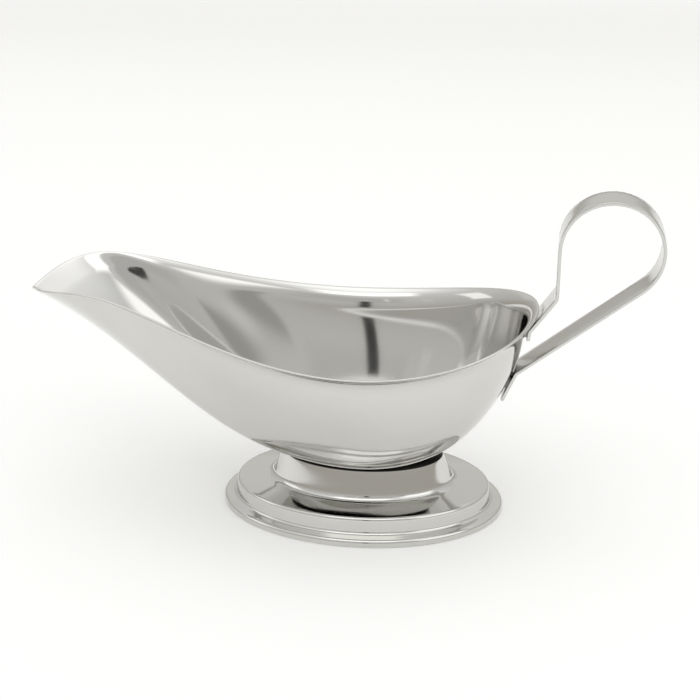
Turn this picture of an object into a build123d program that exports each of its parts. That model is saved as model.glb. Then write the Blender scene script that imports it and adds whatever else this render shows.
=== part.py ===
"""Footed gravy boat in pressed stainless steel: a bowl with a pouring spout, a hollow oval foot
and a bent strap handle, held together by projection welds. Millimetres, +Z up, spout towards -X.
The origin is the centre of the foot on the table."""

import os
from math import cos, pi, radians, sin

import numpy as np
from build123d import *

os.makedirs("parts", exist_ok=True)

# ---- Driving dimensions ------------------------------------------------------------------
SHEET = 0.8                     # bowl and foot sheet thickness
WELD_GAP = 0.3                  # height of a weld nugget between two sheets

# Bowl. Stations run round one side of the rim, 0 at the spout's tip and 1 at the back.
SPOUT_TIP_X = -123.0
BACK_RIM_X = 63.0
# The rim is set at the spout's tip, mouth, crest and throat, the low side, the shoulder and the back.
RIM_STATIONS = [0.0, 0.12, 0.25, 0.42, 0.58, 0.80, 1.0]
RIM_WIDTHS = [12.0, 34.0, 32.0, 34.0, 44.0, 56.0, 62.0]
RIM_HEIGHTS = [80.0, 84.0, 87.0, 76.0, 69.0, 75.0, 81.0]
WALL_STATIONS = [0.0, 0.25, 0.50, 0.75, 1.0]
WALL_STEEPNESS = [25.0, 35.0, 80.0, 90.0, 85.0]     # degrees down from level, just under the lip
WALL_FULLNESS = [0.30, 0.30, 0.40, 0.40, 0.35]      # reach of the wall's upper bend
FLOOR_FULLNESS = [0.30, 0.35, 0.25, 0.35, 0.35]     # reach of the wall's lower bend
WALL_WAISTS = [0.0, 0.0, 8.0, 8.0, 0.0]             # how far the wall's middle is drawn in
LIP_WIDTHS = [3.5, 4.0, 4.0, 4.0, 3.5]
LIP_DROPS = [2.0, 1.5, 1.5, 1.5, 1.5]
LIP_SHARE = 0.2                 # the lip's share of a section's rows
LIP_BENDS = [0.06, 0.08, 0.10, 0.12, 0.06]          # how far down the wall's curve the lip's bend runs
FLOOR_HALF_LENGTH = 18.5
FLOOR_HALF_WIDTH = 17.5
FLOOR_X = -2.5
FLOOR_Z = 22.8
FLOOR_STEP = 0.05               # the coined floor is this much thinner on each side
FLOOR_OVERLAP = 0.4             # and is knitted into the wall by this much

# Foot. The profile's first number is how far inside the foot's edge the sheet runs. It starts
# below the table and is trimmed there, so that the foot stands on a flat ring.
FOOT_HALF_LENGTH = 52.7
FOOT_HALF_WIDTH = 36.0
FOOT_TOP_Z = FLOOR_Z - WELD_GAP
NECK_INSET = 19.0               # at the neck's top bend
FOOT_PROFILE = [
    (0.0, -2.0), (0.0, 2.7), (4.2, 3.4), (4.9, 9.3), (15.8, 10.6),
    (NECK_INSET, FOOT_TOP_Z), (22.5, FOOT_TOP_Z),
]
FOOT_BENDS = [1.3, 1.4, 1.3, 3.0, 1.8]
NECK_PINCH = 4.2                # the neck is this much shorter, each end, than the edge's own offset

# Handle: one flat strap bent about level axes. Both its tabs lie against the bowl's back wall.
STRAP_WIDTH = 12.7
STRAP_THICKNESS = 1.2
LOOP_X = 86.7
LOOP_Z = 105.5
LOOP_RADIUS = 17.9
POST_FOOT_Z = 87.4
SHOULDER_SLOPE = 55.0           # degrees, where the strap clears the rim
ARM_SLOPE = 38.4
UPPER_TAB_Z = 73.6
UPPER_TAB_LENGTH = 4.4
LOWER_TAB_Z = 53.4
LOWER_TAB_LENGTH = 12.4
TAB_BEND = 2.5
POST_BEND = 4.0
WALL_SEARCH_STEP = 1e-9         # how closely a weld's place on the back wall is found
SLOPE_STEP = 0.01               # and how far either side of it the wall's slope is taken

# Weld nuggets: flat discs as high as the gap that they bridge.
WELD_RADIUS = 2.0
HANDLE_WELD_SPACING = 6.4
FOOT_WELD_SPACING = (20.0, 10.0)

# The pressed surfaces are fitted through a grid of their points: sections along half of the piece,
# and rows across each section. The half runs a little past the centre plane, and is then cut there.
OVERRUN = 0.02
SECTION_COUNT = 37
LIP_ROW_COUNT = 5
WALL_ROW_COUNT = 10
FOOT_ROW_COUNT = 46
FIT = {"tol": 0.02, "min_deg": 3, "max_deg": 5}


def smooth_law(stations, values):
    """A clamped cubic through the values: level at both ends, one curve between."""
    steps = np.diff(stations)
    slopes = np.diff(values) / steps
    count = len(stations)
    matrix = np.eye(count)
    right = np.zeros(count)
    for i in range(1, count - 1):
        matrix[i, i - 1:i + 2] = [1 / steps[i - 1], 2 / steps[i - 1] + 2 / steps[i], 1 / steps[i]]
        right[i] = 3 * slopes[i - 1] / steps[i - 1] + 3 * slopes[i] / steps[i]
    tangents = np.linalg.solve(matrix, right)

    def law(station):
        s = abs(station) if station <= 1 else 2 - station
        i = min(max(int(np.searchsorted(stations, s)) - 1, 0), count - 2)
        t = (s - stations[i]) / steps[i]
        start, end = values[i], values[i + 1]
        rise, fall = tangents[i] * steps[i], tangents[i + 1] * steps[i]
        turn = 2 * start - 2 * end + rise + fall
        bend = 3 * end - 3 * start - 2 * rise - fall
        return start + t * (rise + t * (bend + t * turn))

    return law


rim_width = smooth_law(RIM_STATIONS, RIM_WIDTHS)
rim_height = smooth_law(RIM_STATIONS, RIM_HEIGHTS)
wall_steepness = smooth_law(WALL_STATIONS, WALL_STEEPNESS)
wall_fullness = smooth_law(WALL_STATIONS, WALL_FULLNESS)
floor_fullness = smooth_law(WALL_STATIONS, FLOOR_FULLNESS)
wall_waist = smooth_law(WALL_STATIONS, WALL_WAISTS)
lip_width = smooth_law(WALL_STATIONS, LIP_WIDTHS)
lip_drop = smooth_law(WALL_STATIONS, LIP_DROPS)
lip_bend = smooth_law(WALL_STATIONS, LIP_BENDS)


def bezier(points, t):
    """A point on the Bezier curve of its control points."""
    while len(points) > 1:
        points = [a + (b - a) * t for a, b in zip(points, points[1:])]
    return points[0]


def bowl_point(station, t):
    """Outer surface of the bowl's wall: t is 0 at the rim's edge and 1 at the floor's edge."""
    turn = pi * station
    middle = (SPOUT_TIP_X + BACK_RIM_X) / 2
    reach = (BACK_RIM_X - SPOUT_TIP_X) / 2
    rim = Vector(middle - reach * cos(turn), rim_width(station) * sin(turn), rim_height(station))
    floor = Vector(FLOOR_X - FLOOR_HALF_LENGTH * cos(turn), FLOOR_HALF_WIDTH * sin(turn), FLOOR_Z)
    inward = Vector(floor.X - rim.X, floor.Y - rim.Y, 0)
    run = inward.length
    inward = inward.normalized()
    drop = rim.Z - FLOOR_Z
    lip = Vector(lip_width(station), -lip_drop(station))
    steep = radians(wall_steepness(station))
    end = Vector(run, -drop)
    chord = (end - lip).length
    upper = lip + Vector(cos(steep), -sin(steep)) * wall_fullness(station) * chord
    lower = end - Vector(floor_fullness(station) * chord, 0)
    waist = (upper + lower) / 2 + Vector(wall_waist(station), 0)
    wall = [lip, (lip + upper * 3) / 4, waist, (lower * 3 + end) / 4, end]
    bend_end = lip_bend(station)
    if t < LIP_SHARE:
        place = bezier([Vector(0, 0), lip, bezier(wall, bend_end)], t / LIP_SHARE)
    else:
        place = bezier(wall, bend_end + (1 - bend_end) * (t - LIP_SHARE) / (1 - LIP_SHARE))
    return rim + inward * place.X + Vector(0, 0, place.Y)


def foot_point(angle, inset, height):
    """Outer surface of the foot at an angle round it and a distance inside its edge."""
    pinch = NECK_PINCH * (inset / NECK_INSET) ** 2
    return Vector(
        -(FOOT_HALF_LENGTH - inset - pinch) * cos(angle),
        (FOOT_HALF_WIDTH - inset) * sin(angle),
        height,
    )


# ---- Bowl --------------------------------------------------------------------------------
stations = np.linspace(-OVERRUN, 1 + OVERRUN, SECTION_COUNT)
lip_rows = np.linspace(0, LIP_SHARE, LIP_ROW_COUNT)
wall_rows = np.linspace(LIP_SHARE, 1, WALL_ROW_COUNT + 1)[1:]
bowl_rows = [*lip_rows, *wall_rows]
bowl_face = Face.make_surface_from_array_of_points(
    [[bowl_point(station, t) for t in bowl_rows] for station in stations], **FIT
)

with BuildPart() as bowl:
    thicken(bowl_face, amount=-SHEET)
    with BuildSketch(Plane.XY.offset(FLOOR_Z + FLOOR_STEP)):
        with Locations((FLOOR_X, 0)):
            Ellipse(FLOOR_HALF_LENGTH + FLOOR_OVERLAP, FLOOR_HALF_WIDTH + FLOOR_OVERLAP)
    extrude(amount=SHEET - 2 * FLOOR_STEP)
    split(bisect_by=Plane.XZ, keep=Keep.BOTTOM)
    mirror(about=Plane.XZ)
bowl.part.label = "bowl"
export_step(bowl.part, "parts/bowl.step")

# ---- Foot --------------------------------------------------------------------------------
with BuildLine() as foot_profile:
    FilletPolyline(*FOOT_PROFILE, radius=FOOT_BENDS)

profile_wire = foot_profile.wire()
foot_rows = [profile_wire @ t for t in np.linspace(0, 1, FOOT_ROW_COUNT)]
foot_face = Face.make_surface_from_array_of_points(
    [[foot_point(pi * station, row.X, row.Y) for row in foot_rows] for station in stations], **FIT
)

with BuildPart() as foot:
    thicken(foot_face, amount=SHEET)
    with BuildSketch(Plane.XY.offset(FOOT_TOP_Z - SHEET + FLOOR_STEP)):
        top_inset = FOOT_PROFILE[-1][0] - FLOOR_OVERLAP
        Ellipse(-foot_point(0, top_inset, 0).X, foot_point(pi / 2, top_inset, 0).Y)
    extrude(amount=SHEET - 2 * FLOOR_STEP)
    split(bisect_by=Plane.XY, keep=Keep.TOP)
    split(bisect_by=Plane.XZ, keep=Keep.BOTTOM)
    mirror(about=Plane.XZ)
foot.part.label = "foot"
export_step(foot.part, "parts/foot.step")


# ---- Handle ------------------------------------------------------------------------------
def back_wall_plane(height):
    """A plane touching the back wall's outside on the centre line, its normal pointing out."""
    low, high = LIP_SHARE, 1.0
    while high - low > WALL_SEARCH_STEP:
        middle = (low + high) / 2
        if bowl_point(1, middle).Z > height:
            low = middle
        else:
            high = middle
    upward = (bowl_point(1, low - SLOPE_STEP) - bowl_point(1, low + SLOPE_STEP)).normalized()
    return Plane(bowl_point(1, low), x_dir=(0, 1, 0), z_dir=Vector(upward.Z, 0, -upward.X))


def tab_point(wall, height):
    """A point of the strap's middle line on a tab, this far up the wall from its welds."""
    place = wall.offset(WELD_GAP + STRAP_THICKNESS / 2).from_local_coords((0, height, 0))
    return (place.X, place.Z)


def heading(angle):
    """A direction in the handle's plane, this many degrees up from level."""
    return Vector(cos(radians(angle)), sin(radians(angle)))


def tab_crossing(wall, start, direction):
    """Where a tab's own line meets the line that starts at a point and runs in a direction."""
    foot = Vector(*tab_point(wall, 0))
    up = Vector(*tab_point(wall, 1)) - foot
    share = (Vector(*start) - foot).cross(direction).Z / up.cross(direction).Z
    return tab_point(wall, share)


upper_wall = back_wall_plane(UPPER_TAB_Z)
lower_wall = back_wall_plane(LOWER_TAB_Z)
post_x = LOOP_X - LOOP_RADIUS
post_foot = (post_x, POST_FOOT_Z)
arm_turn = ARM_SLOPE - 90
arm_spoke = heading(arm_turn) * LOOP_RADIUS
arm_top = (LOOP_X + arm_spoke.X, LOOP_Z + arm_spoke.Y)
upper_bend = tab_crossing(upper_wall, post_foot, heading(SHOULDER_SLOPE))
lower_bend = tab_crossing(lower_wall, arm_top, heading(ARM_SLOPE))

with BuildPart() as handle:
    with BuildLine(Plane.XZ) as strap_path:
        FilletPolyline(
            tab_point(upper_wall, -UPPER_TAB_LENGTH / 2), upper_bend, post_foot, (post_x, LOOP_Z),
            radius=[TAB_BEND, POST_BEND],
        )
        CenterArc((LOOP_X, LOOP_Z), LOOP_RADIUS, 180, arm_turn - 180)
        FilletPolyline(arm_top, lower_bend, tab_point(lower_wall, -LOWER_TAB_LENGTH / 2), radius=[TAB_BEND])
    strap_line = strap_path.wire()
    with BuildSketch(Plane(strap_line @ 0, x_dir=(0, 1, 0), z_dir=strap_line % 0)):
        Rectangle(STRAP_WIDTH, STRAP_THICKNESS)
    sweep(path=strap_line)
handle.part.label = "handle"
export_step(handle.part, "parts/handle.step")


# ---- Welds -------------------------------------------------------------------------------
def handle_welds(wall):
    """Two nuggets side by side across a tab, trimmed to the gap between the strap and the wall."""
    with BuildPart() as welds:
        with BuildSketch(wall.offset(-SHEET / 2)):
            with GridLocations(HANDLE_WELD_SPACING, 1, 2, 1):
                Circle(WELD_RADIUS)
        extrude(amount=SHEET / 2 + WELD_GAP)
        add(bowl.part, mode=Mode.SUBTRACT)
    return welds


upper_handle_welds = handle_welds(upper_wall)
upper_handle_welds.part.label = "upper_handle_welds"
export_step(upper_handle_welds.part, "parts/upper_handle_welds.step")

lower_handle_welds = handle_welds(lower_wall)
lower_handle_welds.part.label = "lower_handle_welds"
export_step(lower_handle_welds.part, "parts/lower_handle_welds.step")

with BuildPart() as foot_welds:
    with BuildSketch(Plane.XY.offset(FOOT_TOP_Z - FLOOR_STEP)):
        with Locations((FLOOR_X, 0)):
            with GridLocations(*FOOT_WELD_SPACING, 2, 2):
                Circle(WELD_RADIUS)
    extrude(amount=WELD_GAP + 2 * FLOOR_STEP)
foot_welds.part.label = "foot_welds"
export_step(foot_welds.part, "parts/foot_welds.step")
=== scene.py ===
from math import atan2, cos, pi, radians, sin, tan

import bmesh
import bpy
import numpy as np
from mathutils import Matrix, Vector


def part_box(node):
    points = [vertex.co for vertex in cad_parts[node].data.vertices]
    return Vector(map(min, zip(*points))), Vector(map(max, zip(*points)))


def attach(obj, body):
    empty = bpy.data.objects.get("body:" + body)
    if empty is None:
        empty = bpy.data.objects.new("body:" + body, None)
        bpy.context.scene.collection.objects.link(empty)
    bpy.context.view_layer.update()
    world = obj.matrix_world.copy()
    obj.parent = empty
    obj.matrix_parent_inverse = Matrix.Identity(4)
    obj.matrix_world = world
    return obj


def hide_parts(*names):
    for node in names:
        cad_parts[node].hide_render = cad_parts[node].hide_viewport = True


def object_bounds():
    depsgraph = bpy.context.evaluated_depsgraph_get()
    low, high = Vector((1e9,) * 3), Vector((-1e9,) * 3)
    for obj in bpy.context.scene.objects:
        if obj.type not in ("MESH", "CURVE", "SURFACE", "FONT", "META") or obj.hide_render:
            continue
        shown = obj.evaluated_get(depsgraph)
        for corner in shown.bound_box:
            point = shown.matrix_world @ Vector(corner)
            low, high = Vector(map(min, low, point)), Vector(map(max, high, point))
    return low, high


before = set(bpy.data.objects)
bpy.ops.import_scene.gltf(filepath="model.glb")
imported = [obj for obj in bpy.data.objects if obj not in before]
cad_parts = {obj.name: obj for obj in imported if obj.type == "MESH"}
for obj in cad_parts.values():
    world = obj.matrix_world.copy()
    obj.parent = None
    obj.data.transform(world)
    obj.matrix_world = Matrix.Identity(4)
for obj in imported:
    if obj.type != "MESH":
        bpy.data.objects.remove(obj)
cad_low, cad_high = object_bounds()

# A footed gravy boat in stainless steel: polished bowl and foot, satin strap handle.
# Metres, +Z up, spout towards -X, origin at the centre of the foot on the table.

MM = 0.001
scene = bpy.context.scene

# ---- Sizes taken from the frame ----------------------------------------------------------
bowl_low, bowl_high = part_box("bowl")
_, foot_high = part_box("foot")
_, handle_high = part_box("handle")

SHEET = 0.8 * MM

# ---- Bowl --------------------------------------------------------------------------------
# Stations run round one side of the rim, 0 at the spout's tip and 1 at the back.
# The rim is set at the spout's tip, mouth, crest and throat, the low side, the shoulder and the back.
RIM_STATIONS = [0.0, 0.12, 0.25, 0.42, 0.58, 0.80, 1.0]
RIM_WIDTHS = [12.0, 34.0, 32.0, 34.0, 44.0, 56.0, 62.0]
RIM_HEIGHTS = [80.0, 84.0, 87.0, 76.0, 69.0, 75.0, 81.0]
WALL_STATIONS = [0.0, 0.25, 0.50, 0.75, 1.0]
WALL_STEEPNESS = [25.0, 35.0, 80.0, 90.0, 85.0]     # degrees down from level, just under the lip
WALL_FULLNESS = [0.30, 0.30, 0.40, 0.40, 0.35]      # reach of the wall's upper bend
FLOOR_FULLNESS = [0.30, 0.35, 0.25, 0.35, 0.35]     # reach of the wall's lower bend
WALL_WAISTS = [0.0, 0.0, 8.0, 8.0, 0.0]             # how far the wall's middle is drawn in
LIP_WIDTHS = [3.5, 4.0, 4.0, 4.0, 3.5]
LIP_DROPS = [2.0, 1.5, 1.5, 1.5, 1.5]
LIP_BENDS = [0.06, 0.08, 0.10, 0.12, 0.06]          # how far down the wall's curve the lip's bend runs
FLOOR_HALF_LENGTH = 18.5 * MM
FLOOR_HALF_WIDTH = 17.5 * MM
FLOOR_X = -2.5 * MM
RING_SEGMENTS = 96
LIP_ROWS = 6
WALL_ROWS = 16
FLOOR_RINGS = (0.75, 0.45, 0.15)                    # shares of the floor's size
SMOOTHING = 2                                       # subdivision levels of the two shells


def smooth_law(stations, values):
    """A clamped cubic through the values: level at both ends, one curve between."""
    steps = np.diff(stations)
    slopes = np.diff(values) / steps
    count = len(stations)
    matrix = np.eye(count)
    right = np.zeros(count)
    for i in range(1, count - 1):
        matrix[i, i - 1:i + 2] = [1 / steps[i - 1], 2 / steps[i - 1] + 2 / steps[i], 1 / steps[i]]
        right[i] = 3 * slopes[i - 1] / steps[i - 1] + 3 * slopes[i] / steps[i]
    tangents = np.linalg.solve(matrix, right)

    def law(station):
        i = min(max(int(np.searchsorted(stations, station)) - 1, 0), count - 2)
        t = (station - stations[i]) / steps[i]
        start, end = values[i], values[i + 1]
        rise, fall = tangents[i] * steps[i], tangents[i + 1] * steps[i]
        turn = 2 * start - 2 * end + rise + fall
        bend = 3 * end - 3 * start - 2 * rise - fall
        return float(start + t * (rise + t * (bend + t * turn)))

    return law


rim_width = smooth_law(RIM_STATIONS, RIM_WIDTHS)
rim_height = smooth_law(RIM_STATIONS, RIM_HEIGHTS)
wall_steepness = smooth_law(WALL_STATIONS, WALL_STEEPNESS)
wall_fullness = smooth_law(WALL_STATIONS, WALL_FULLNESS)
floor_fullness = smooth_law(WALL_STATIONS, FLOOR_FULLNESS)
wall_waist = smooth_law(WALL_STATIONS, WALL_WAISTS)
lip_width = smooth_law(WALL_STATIONS, LIP_WIDTHS)
lip_drop = smooth_law(WALL_STATIONS, LIP_DROPS)
lip_bend = smooth_law(WALL_STATIONS, LIP_BENDS)


def bezier(points, t):
    """A point on the Bezier curve of its control points."""
    while len(points) > 1:
        points = [a.lerp(b, t) for a, b in zip(points, points[1:])]
    return points[0]


def rim_point(station, side):
    turn = pi * station
    middle = (bowl_low.x + bowl_high.x) / 2
    reach = (bowl_high.x - bowl_low.x) / 2
    width = rim_width(station) * MM
    return Vector((middle - reach * cos(turn), side * width * sin(turn), rim_height(station) * MM))


def bowl_point(station, side, row):
    """Outer surface of the bowl. Rows run from the rim's edge (lip), down the wall, to the floor."""
    part, t = row
    turn = pi * station
    rim = rim_point(station, side)
    floor = Vector((
        FLOOR_X - FLOOR_HALF_LENGTH * cos(turn), side * FLOOR_HALF_WIDTH * sin(turn), bowl_low.z,
    ))
    if part == "floor":
        centre = Vector((FLOOR_X, 0, bowl_low.z))
        return centre + (floor - centre) * t
    inward = Vector((floor.x - rim.x, floor.y - rim.y, 0))
    run = inward.length
    inward.normalize()
    drop = rim.z - floor.z
    lip = Vector((lip_width(station), -lip_drop(station))) * MM
    steep = radians(wall_steepness(station))
    end = Vector((run, -drop))
    chord = (end - lip).length
    upper = lip + Vector((cos(steep), -sin(steep))) * wall_fullness(station) * chord
    lower = end - Vector((floor_fullness(station) * chord, 0))
    waist = (upper + lower) / 2 + Vector((wall_waist(station) * MM, 0))
    wall = [lip, (lip + upper * 3) / 4, waist, (lower * 3 + end) / 4, end]
    bend_end = lip_bend(station)
    if part == "lip":
        place = bezier([Vector((0, 0)), lip, bezier(wall, bend_end)], t)
    else:
        place = bezier(wall, bend_end + (1 - bend_end) * t)
    return rim + inward * place.x + Vector((0, 0, place.y))


BOWL_ROWS = (
    [("lip", k / LIP_ROWS) for k in range(LIP_ROWS)]
    + [("wall", k / WALL_ROWS) for k in range(WALL_ROWS + 1)]
    + [("floor", t) for t in FLOOR_RINGS]
)


def ringed_shell(name, rows, place):
    """An open shell of rings: place(station, side, row) says where each ring's vertices go."""
    bm = bmesh.new()
    bmesh.ops.create_circle(bm, cap_ends=False, radius=1.0, segments=RING_SEGMENTS)
    bm.verts.ensure_lookup_table()
    layer_station = bm.verts.layers.float.new("station")
    layer_side = bm.verts.layers.float.new("side")
    for vertex in bm.verts:
        angle = atan2(vertex.co.y, -vertex.co.x)
        vertex[layer_station] = min(abs(angle) / pi, 1.0)
        vertex[layer_side] = 1.0 if angle >= 0 else -1.0
        vertex.co = place(vertex[layer_station], vertex[layer_side], rows[0])
    ring = list(bm.edges)
    for row in rows[1:]:
        grown = bmesh.ops.extrude_edge_only(bm, edges=ring)["geom"]
        fresh = [g for g in grown if isinstance(g, bmesh.types.BMVert)]
        for vertex in fresh:
            vertex.co = place(vertex[layer_station], vertex[layer_side], row)
        fresh_set = set(fresh)
        grown_edges = [g for g in grown if isinstance(g, bmesh.types.BMEdge)]
        ring = [e for e in grown_edges if all(v in fresh_set for v in e.verts)]
    bmesh.ops.contextual_create(bm, geom=ring)
    cap = [f for f in bm.faces if len(f.verts) == RING_SEGMENTS]
    bmesh.ops.poke(bm, faces=cap)
    bmesh.ops.recalc_face_normals(bm, faces=bm.faces)
    for face in bm.faces:
        face.smooth = True
    return finish_mesh(bm, name)


def finish_mesh(bm, name):
    mesh = bpy.data.meshes.new(name)
    bm.to_mesh(mesh)
    bm.free()
    piece = bpy.data.objects.new(name, mesh)
    scene.collection.objects.link(piece)
    return piece


def solidify(piece, thickness, offset):
    wall = piece.modifiers.new("sheet", "SOLIDIFY")
    wall.thickness = thickness
    wall.offset = offset
    wall.use_even_offset = True
    wall.use_rim = True


def subdivide(piece, levels):
    smooth = piece.modifiers.new("smooth", "SUBSURF")
    smooth.levels = levels
    smooth.render_levels = levels


def outward(piece, inside):
    """Turns an open shell's faces to point away from a point inside it."""
    mesh = piece.data
    score = sum((f.center - inside).dot(f.normal) * f.area for f in mesh.polygons)
    if score < 0:
        mesh.flip_normals()


bowl = ringed_shell("bowl_shell", BOWL_ROWS, bowl_point)
outward(bowl, Vector((0, 0, 0.06)))
solidify(bowl, SHEET, -1.0)
subdivide(bowl, SMOOTHING)

# ---- Foot --------------------------------------------------------------------------------
FOOT_HALF_LENGTH = foot_high.x
FOOT_HALF_WIDTH = foot_high.y
NECK_INSET = 19.0 * MM
NECK_PINCH = 4.2 * MM
# Distance inside the foot's edge and height, from the table up to the flat top, in millimetres
FOOT_PROFILE = [(0.0, 0.0), (0.0, 2.7), (4.2, 3.4), (4.9, 9.3), (15.8, 10.6), (19.0, 22.5), (22.5, 22.5)]
FOOT_BENDS = [1.3, 1.4, 1.3, 3.0, 1.8]
TOP_RINGS = (0.6, 0.2)                              # shares of the flat top's size


def rounded_corner(before, corner, after, radius, count=5):
    """Points of the arc that rounds a corner between two straight runs."""
    back = (before - corner).normalized()
    on = (after - corner).normalized()
    half = back.angle(on) / 2
    reach = radius / tan(half)
    start, end = corner + back * reach, corner + on * reach
    centre = corner + (back + on).normalized() * radius / sin(half)
    spread = []
    for k in range(count + 1):
        spoke = (start - centre).lerp(end - centre, k / count)
        spread.append(centre + spoke.normalized() * radius)
    return spread


def foot_rows():
    """The profile's points, every corner rounded, then the flat top's shrinking rings."""
    corners = [Vector(point) * MM for point in FOOT_PROFILE]
    rows = [(corners[0], 1.0), (corners[0].lerp(corners[1], 0.3), 1.0)]
    for before, corner, after, bend in zip(corners, corners[1:], corners[2:], FOOT_BENDS):
        rows += [(point, 1.0) for point in rounded_corner(before, corner, after, bend * MM)]
        rows.append((corner.lerp(after, 0.5), 1.0))
    rows.append((corners[-1], 1.0))
    return rows + [(corners[-1], share) for share in TOP_RINGS]


def foot_point(station, side, row):
    """Outer surface of the foot: ovals of constant inset, the neck a little shorter."""
    (inset, height), share = row
    turn = pi * station
    pinch = NECK_PINCH * (inset / NECK_INSET) ** 2
    return Vector((
        -(FOOT_HALF_LENGTH - inset - pinch) * share * cos(turn),
        side * (FOOT_HALF_WIDTH - inset) * share * sin(turn),
        height,
    ))


foot = ringed_shell("foot_shell", foot_rows(), foot_point)
outward(foot, Vector((0, 0, 0.005)))
solidify(foot, SHEET, -1.0)
subdivide(foot, SMOOTHING)

# ---- Handle ------------------------------------------------------------------------------
STRAP_THICKNESS = 1.2 * MM
LOOP_RADIUS = 17.9 * MM
LOOP_REACH = STRAP_THICKNESS / 2 + LOOP_RADIUS
LOOP_CENTRE = Vector((handle_high.x - LOOP_REACH, handle_high.z - LOOP_REACH))
ARM_SLOPE = radians(38.4)
POST_FOOT_Z = 87.4 * MM
STRAP_HALF = handle_high.y
SHOULDER_SLOPE = radians(55.0)
UPPER_TAB_Z = 73.6 * MM
UPPER_TAB_LENGTH = 4.4 * MM
LOWER_TAB_Z = 53.4 * MM
LOWER_TAB_LENGTH = 12.4 * MM
TAB_BEND = 2.5 * MM
POST_BEND = 4.0 * MM
WELD_GAP = 0.3 * MM
EDGE_BEVEL = 0.3 * MM
BEVEL_ANGLE = radians(50)       # edges sharper than this are rounded
ARC_STEPS = 28
ARM_STEPS = 10
WALL_HALVINGS = 40              # how closely a height is found on the back wall
SLOPE_STEP = 0.01               # and how far either side of it the wall's slope is taken


def back_wall_at(height):
    """The back wall's outside on the centre line at a height, and the way up along it."""
    low, high = 0.0, 1.0
    for _ in range(WALL_HALVINGS):
        middle = (low + high) / 2
        if bowl_point(1.0, 1.0, ("wall", middle)).z > height:
            low = middle
        else:
            high = middle
    place = bowl_point(1.0, 1.0, ("wall", low))
    above = bowl_point(1.0, 1.0, ("wall", low - SLOPE_STEP))
    below = bowl_point(1.0, 1.0, ("wall", low + SLOPE_STEP))
    return place.xz, (above - below).xz.normalized()


def tab_point(wall, height):
    """A point of the strap's middle line on a tab, this far up the wall from its welds."""
    place, upward = wall
    outside = Vector((upward.y, -upward.x))
    return place + upward * height + outside * (WELD_GAP + STRAP_THICKNESS / 2)


def heading(angle):
    return Vector((cos(angle), sin(angle)))


def tab_crossing(wall, start, direction):
    """Where a tab's own line meets the line that starts at a point and runs in a direction."""
    tab_foot = tab_point(wall, 0.0)
    return tab_point(wall, (start - tab_foot).cross(direction) / wall[1].cross(direction))


def arc_points(centre, radius, start, end, count):
    """Points along an arc, both ends included; angles in radians."""
    return [centre + heading(start + (end - start) * k / count) * radius for k in range(count + 1)]


def strap_path():
    post_x = LOOP_CENTRE.x - LOOP_RADIUS
    post_foot = Vector((post_x, POST_FOOT_Z))
    post_top = Vector((post_x, LOOP_CENTRE.y))
    arm_top = LOOP_CENTRE + heading(ARM_SLOPE - pi / 2) * LOOP_RADIUS
    upper_wall, lower_wall = back_wall_at(UPPER_TAB_Z), back_wall_at(LOWER_TAB_Z)
    tab_end = tab_point(upper_wall, -UPPER_TAB_LENGTH / 2)
    bend = tab_crossing(upper_wall, post_foot, heading(SHOULDER_SLOPE))
    lower_bend = tab_crossing(lower_wall, arm_top, heading(ARM_SLOPE))
    lower_end = tab_point(lower_wall, -LOWER_TAB_LENGTH / 2)
    path = [tab_end, tab_end.lerp(bend, 0.5)]
    path += rounded_corner(tab_end, bend, post_foot, TAB_BEND)
    path += [bend.lerp(post_foot, k) for k in (0.3, 0.5)]
    path += rounded_corner(bend, post_foot, post_top, POST_BEND)
    path += [post_foot.lerp(post_top, k) for k in (0.4, 0.7)]
    path += arc_points(LOOP_CENTRE, LOOP_RADIUS, pi, ARM_SLOPE - pi / 2, ARC_STEPS)
    path += [arm_top.lerp(lower_bend, k / ARM_STEPS) for k in range(1, ARM_STEPS)]
    path += rounded_corner(arm_top, lower_bend, lower_end, TAB_BEND)
    path += [lower_bend.lerp(lower_end, k) for k in (0.4, 0.7, 1.0)]
    return path


def build_strap(name, path):
    """A strip of faces across the strap, extruded along its path, then thickened."""
    bm = bmesh.new()
    columns = [-1.0, -0.5, 0.0, 0.5, 1.0]
    first = [bm.verts.new((path[0].x, c * STRAP_HALF, path[0].y)) for c in columns]
    edges = [bm.edges.new(pair) for pair in zip(first, first[1:])]
    for point in path[1:]:
        grown = bmesh.ops.extrude_edge_only(bm, edges=edges)["geom"]
        fresh = {g for g in grown if isinstance(g, bmesh.types.BMVert)}
        for vertex in fresh:
            vertex.co.x, vertex.co.z = point
        grown_edges = [g for g in grown if isinstance(g, bmesh.types.BMEdge)]
        edges = [e for e in grown_edges if all(v in fresh for v in e.verts)]
    bmesh.ops.recalc_face_normals(bm, faces=bm.faces)
    for face in bm.faces:
        face.smooth = True
    return finish_mesh(bm, name)


strap = build_strap("handle_strap", strap_path())
solidify(strap, STRAP_THICKNESS, 0.0)
edge = strap.modifiers.new("rounded_edges", "BEVEL")
edge.width = EDGE_BEVEL
edge.segments = 3
edge.limit_method = "ANGLE"
edge.angle_limit = BEVEL_ANGLE


# ---- Materials ---------------------------------------------------------------------------
SEAM_LOW = foot_high.z - 1.3 * MM       # the painted shade in the gap runs from here on the neck
SEAM_HIGH = bowl_low.z + 0.55 * MM      # to here on the bowl's underside
SEAM_FADE = 0.25 * MM
# near-black colour of the painted shade in the gap between bowl and neck
SEAM_SHADE_COLOUR = (0.012, 0.011, 0.010)
GRAIN_DETAIL = 6.0
CLOUD_SCALE = 45.0              # the size of the patches of haze
CLOUD_DETAIL = 3.0
CLEAREST, HAZIEST = 0.7, 1.4    # shares of a finish's roughness
CLOUD_TONE = 0.94               # how much darker the colour gets in a patch
GRAIN_DEPTH = 0.02 * MM


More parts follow.
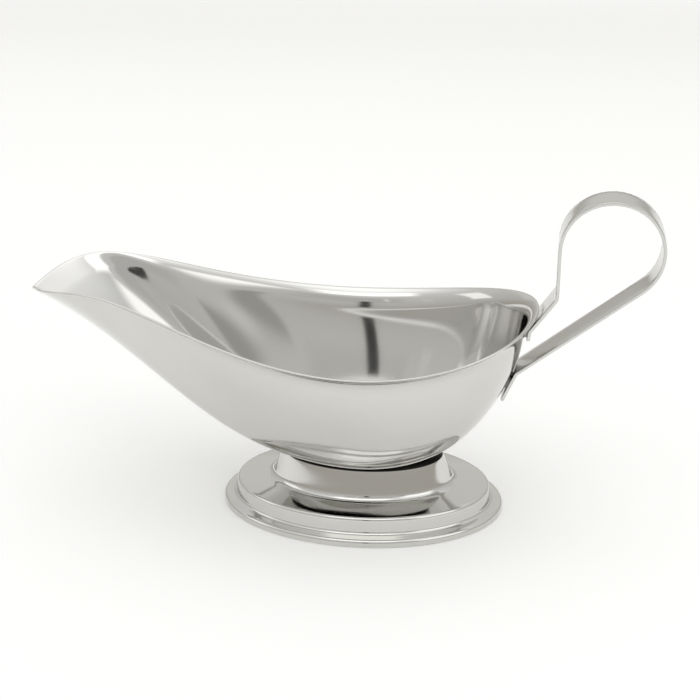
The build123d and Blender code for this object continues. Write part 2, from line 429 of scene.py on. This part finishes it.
def painted_seam_shade(nodes, links, coordinates, unshaded):
    """Darkens the narrow gap between bowl and neck with painted shade; returns the colour."""
    parts = nodes.new("ShaderNodeSeparateXYZ")
    links.new(coordinates.outputs["Object"], parts.inputs["Vector"])
    both = nodes.new("ShaderNodeMath")
    both.operation = "MULTIPLY"
    spans = ((SEAM_LOW - SEAM_FADE, SEAM_LOW), (SEAM_HIGH, SEAM_HIGH - SEAM_FADE))
    for slot, (start, end) in enumerate(spans):
        side = nodes.new("ShaderNodeMapRange")
        side.inputs["From Min"].default_value = start
        side.inputs["From Max"].default_value = end
        links.new(parts.outputs["Z"], side.inputs["Value"])
        links.new(side.outputs["Result"], both.inputs[slot])
    shade_mix = nodes.new("ShaderNodeMixRGB")
    shade_mix.inputs["Color2"].default_value = (*SEAM_SHADE_COLOUR, 1)
    links.new(both.outputs[0], shade_mix.inputs["Fac"])
    links.new(unshaded, shade_mix.inputs["Color1"])
    return shade_mix.outputs["Color"]


def steel_material(name, colour, roughness, grain_scale, grain_bump):
    """Bare stainless steel: a mirror with a slight haze, broken by fine polishing lines."""
    material = bpy.data.materials.new(name)
    material.use_nodes = True
    nodes, links = material.node_tree.nodes, material.node_tree.links
    shader = nodes["Principled BSDF"]
    shader.inputs["Metallic"].default_value = 1.0
    coordinates = nodes.new("ShaderNodeTexCoord")
    grain_place = nodes.new("ShaderNodeMapping")
    grain_place.inputs["Scale"].default_value = grain_scale
    grain = nodes.new("ShaderNodeTexNoise")
    grain.inputs["Scale"].default_value = 1.0
    grain.inputs["Detail"].default_value = GRAIN_DETAIL
    cloud = nodes.new("ShaderNodeTexNoise")
    cloud.inputs["Scale"].default_value = CLOUD_SCALE
    cloud.inputs["Detail"].default_value = CLOUD_DETAIL
    links.new(coordinates.outputs["Object"], grain_place.inputs["Vector"])
    links.new(grain_place.outputs["Vector"], grain.inputs["Vector"])
    links.new(coordinates.outputs["Object"], cloud.inputs["Vector"])
    haze = nodes.new("ShaderNodeMapRange")
    haze.inputs["To Min"].default_value = roughness * CLEAREST
    haze.inputs["To Max"].default_value = roughness * HAZIEST
    links.new(cloud.outputs["Fac"], haze.inputs["Value"])
    links.new(haze.outputs["Result"], shader.inputs["Roughness"])
    tint = nodes.new("ShaderNodeMixRGB")
    tint.inputs["Color1"].default_value = (*colour, 1)
    tint.inputs["Color2"].default_value = (*(c * CLOUD_TONE for c in colour), 1)
    links.new(cloud.outputs["Fac"], tint.inputs["Fac"])
    # the base colour carries the painted shade of the gap between bowl and neck
    links.new(painted_seam_shade(nodes, links, coordinates, tint.outputs["Color"]), shader.inputs["Base Color"])
    bump = nodes.new("ShaderNodeBump")
    bump.inputs["Strength"].default_value = grain_bump
    bump.inputs["Distance"].default_value = GRAIN_DEPTH
    links.new(grain.outputs["Fac"], bump.inputs["Height"])
    links.new(bump.outputs["Normal"], shader.inputs["Normal"])
    return material


polished = steel_material("polished_stainless", (0.67, 0.665, 0.645), 0.07, (150, 900, 900), 0.06)
satin = steel_material("satin_stainless", (0.66, 0.655, 0.64), 0.18, (220, 4000, 220), 0.25)
weld = steel_material("weld_metal", (0.40, 0.39, 0.38), 0.45, (900, 900, 900), 0.5)

for piece, material, node, slot in (
    (bowl, polished, "bowl", "polished_steel"),
    (foot, polished, "foot", "polished_steel"),
    (strap, satin, "handle", "satin_steel"),
):
    piece.data.materials.append(material)
    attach(piece, "root")
    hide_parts(node)

for node in ("upper_handle_welds", "lower_handle_welds", "foot_welds"):
    weld_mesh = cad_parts[node].data
    weld_mesh.materials.clear()
    weld_mesh.materials.append(weld)


# ---- Studio ------------------------------------------------------------------------------
CARD_HALF = 0.5                 # a card's mesh is one unit across, then scaled
CARD_FADE = 0.22                # how much of that fades out at each edge
FLOOR_GLOW = 0.13
FLOOR_SIZE = 6.0


def plain_material(name, colour, roughness):
    """One even matt colour."""
    material = bpy.data.materials.new(name)
    material.use_nodes = True
    shader = material.node_tree.nodes["Principled BSDF"]
    shader.inputs["Base Color"].default_value = (*colour, 1)
    shader.inputs["Roughness"].default_value = roughness
    return material


def staged_card(name, centre, size, facing, material, seen=False):
    """A flat card in the studio, square to its facing direction."""
    bm = bmesh.new()
    bmesh.ops.create_grid(bm, x_segments=1, y_segments=1, size=CARD_HALF)
    card = finish_mesh(bm, name)
    card.scale = (size[0], size[1], 1)
    card.rotation_mode = "QUATERNION"
    card.rotation_quaternion = facing.to_track_quat("Z", "Y")
    card.location = centre
    card.data.materials.append(material)
    card.visible_camera = seen
    return card


floor_finish = plain_material("pale_floor", (0.93, 0.93, 0.925), 0.7)
floor_shader = floor_finish.node_tree.nodes["Principled BSDF"]
floor_shader.inputs["Emission Color"].default_value = (1, 1, 1, 1)
floor_shader.inputs["Emission Strength"].default_value = FLOOR_GLOW
floor_size = (FLOOR_SIZE, FLOOR_SIZE)
staged_card("floor", Vector((0, 0, cad_low.z)), floor_size, Vector((0, 0, 1)), floor_finish, seen=True)


def glow_material(name, colour, strength):
    """A card that gives a light of its own, fading out towards its edges."""
    material = bpy.data.materials.new(name)
    material.use_nodes = True
    nodes = material.node_tree.nodes
    nodes.remove(nodes["Principled BSDF"])
    glow = nodes.new("ShaderNodeEmission")
    glow.inputs["Color"].default_value = (*colour, 1)
    glow.inputs["Strength"].default_value = strength
    links = material.node_tree.links
    coordinates = nodes.new("ShaderNodeTexCoord")
    parts = nodes.new("ShaderNodeSeparateXYZ")
    links.new(coordinates.outputs["Object"], parts.inputs["Vector"])
    outermost = nodes.new("ShaderNodeMath")
    outermost.operation = "MAXIMUM"
    for slot, axis in enumerate("XY"):
        across = nodes.new("ShaderNodeMath")
        across.operation = "ABSOLUTE"
        links.new(parts.outputs[axis], across.inputs[0])
        links.new(across.outputs[0], outermost.inputs[slot])
    fade = nodes.new("ShaderNodeMapRange")
    fade.interpolation_type = "SMOOTHSTEP"
    fade.inputs["From Min"].default_value = CARD_HALF - CARD_FADE
    fade.inputs["From Max"].default_value = CARD_HALF
    links.new(outermost.outputs[0], fade.inputs["Value"])
    mix = nodes.new("ShaderNodeMixShader")
    links.new(fade.outputs["Result"], mix.inputs["Fac"])
    links.new(glow.outputs["Emission"], mix.inputs[1])
    links.new(nodes.new("ShaderNodeBsdfTransparent").outputs["BSDF"], mix.inputs[2])
    links.new(mix.outputs["Shader"], nodes["Material Output"].inputs["Surface"])
    return material


def sky_direction(azimuth, elevation):
    """A direction in degrees: azimuth 0 is towards -Y, the front, and 90 towards +X."""
    turn, rise = radians(azimuth), radians(elevation)
    return Vector((sin(turn) * cos(rise), -cos(turn) * cos(rise), sin(rise)))


def studio_world(stops):
    """The studio round the object, as one even ramp from the horizon to overhead."""
    world = bpy.data.worlds.new("studio")
    scene.world = world
    world.use_nodes = True
    nodes, links = world.node_tree.nodes, world.node_tree.links
    direction = nodes.new("ShaderNodeTexCoord")
    parts = nodes.new("ShaderNodeSeparateXYZ")
    links.new(direction.outputs["Generated"], parts.inputs["Vector"])
    ramp = nodes.new("ShaderNodeValToRGB")
    band = ramp.color_ramp
    while len(band.elements) < len(stops):
        band.elements.new(0.5)
    for element, (elevation, colour) in zip(band.elements, stops):
        element.position = max(sin(radians(elevation)), 0.0)
        element.color = (*colour, 1)
    links.new(parts.outputs["Z"], ramp.inputs["Fac"])
    path = nodes.new("ShaderNodeLightPath")
    seen = nodes.new("ShaderNodeMixRGB")
    seen.inputs["Color2"].default_value = (1, 1, 1, 1)
    links.new(path.outputs["Is Camera Ray"], seen.inputs["Fac"])
    links.new(ramp.outputs["Color"], seen.inputs["Color1"])
    links.new(seen.outputs["Color"], nodes["Background"].inputs["Color"])


studio_world([
    (0, (0.46, 0.44, 0.40)), (12, (0.62, 0.61, 0.58)), (30, (0.70, 0.695, 0.68)),
    (48, (0.80, 0.80, 0.79)), (62, (1.05, 1.05, 1.04)), (90, (1.6, 1.6, 1.6)),
])

FAR_CARD, NEAR_CARD = 1.0, 0.97
# Cards about a metre away: azimuth and elevation of the middle, width and height, and what it shines
STUDIO_CARDS = {
    "front_opening": ((4, 33), (0.70, 0.36), (0.60, 0.595, 0.58)),
    "front_streak": ((-7, 34), (0.03, 0.26), (0.95, 0.945, 0.93)),
    "front_left_panel": ((-28, 30), (0.16, 0.36), (0.72, 0.71, 0.69)),
    "front_right_panel": ((30, 20), (0.16, 0.20), (0.42, 0.41, 0.39)),
    "front_top_softbox": ((-4, 60), (0.7, 0.40), (1.7, 1.7, 1.68)),
    "right_softbox": ((55, 38), (0.75, 0.60), (1.5, 1.5, 1.48)),
    "left_softbox": ((-78, 34), (0.5, 0.5), (1.3, 1.3, 1.28)),
    "back_card": ((180, 28), (1.7, 0.46), (0.76, 0.75, 0.72)),
}
for card_name, ((azimuth, elevation), size, colour) in STUDIO_CARDS.items():
    way = sky_direction(azimuth, elevation)
    distance = FAR_CARD if card_name == "front_opening" else NEAR_CARD
    staged_card(card_name, way * distance, size, -way, glow_material(card_name, colour, 1.0))

dark = plain_material("dark_camera", (0.01, 0.01, 0.01), 0.6)

# ---- Camera ------------------------------------------------------------------------------
CAMERA_AZIMUTH = 7.18
CAMERA_ELEVATION = 24.0
CAMERA_DISTANCE = 0.5822
CAMERA_TARGET = Vector((-0.00481, -0.00061, 0.06184))
CAMERA_LENS = 82.3
BODY_AZIMUTH, BODY_ELEVATION = 1.5, 20
BODY_DISTANCE = 0.9
BODY_SIZE = (0.050, 0.26)

camera_data = bpy.data.cameras.new("camera")
camera_data.lens = CAMERA_LENS
camera = bpy.data.objects.new("camera", camera_data)
back = sky_direction(CAMERA_AZIMUTH, CAMERA_ELEVATION)
camera.location = CAMERA_TARGET + back * CAMERA_DISTANCE
camera.rotation_mode = "QUATERNION"
camera.rotation_quaternion = (-back).to_track_quat("-Z", "Y")
scene.collection.objects.link(camera)
scene.camera = camera
scene.view_settings.view_transform = "Standard"

# The dark body of a camera, so that the steel has one to reflect
body_way = sky_direction(BODY_AZIMUTH, BODY_ELEVATION)
staged_card("camera_body", body_way * BODY_DISTANCE, BODY_SIZE, -body_way, dark)
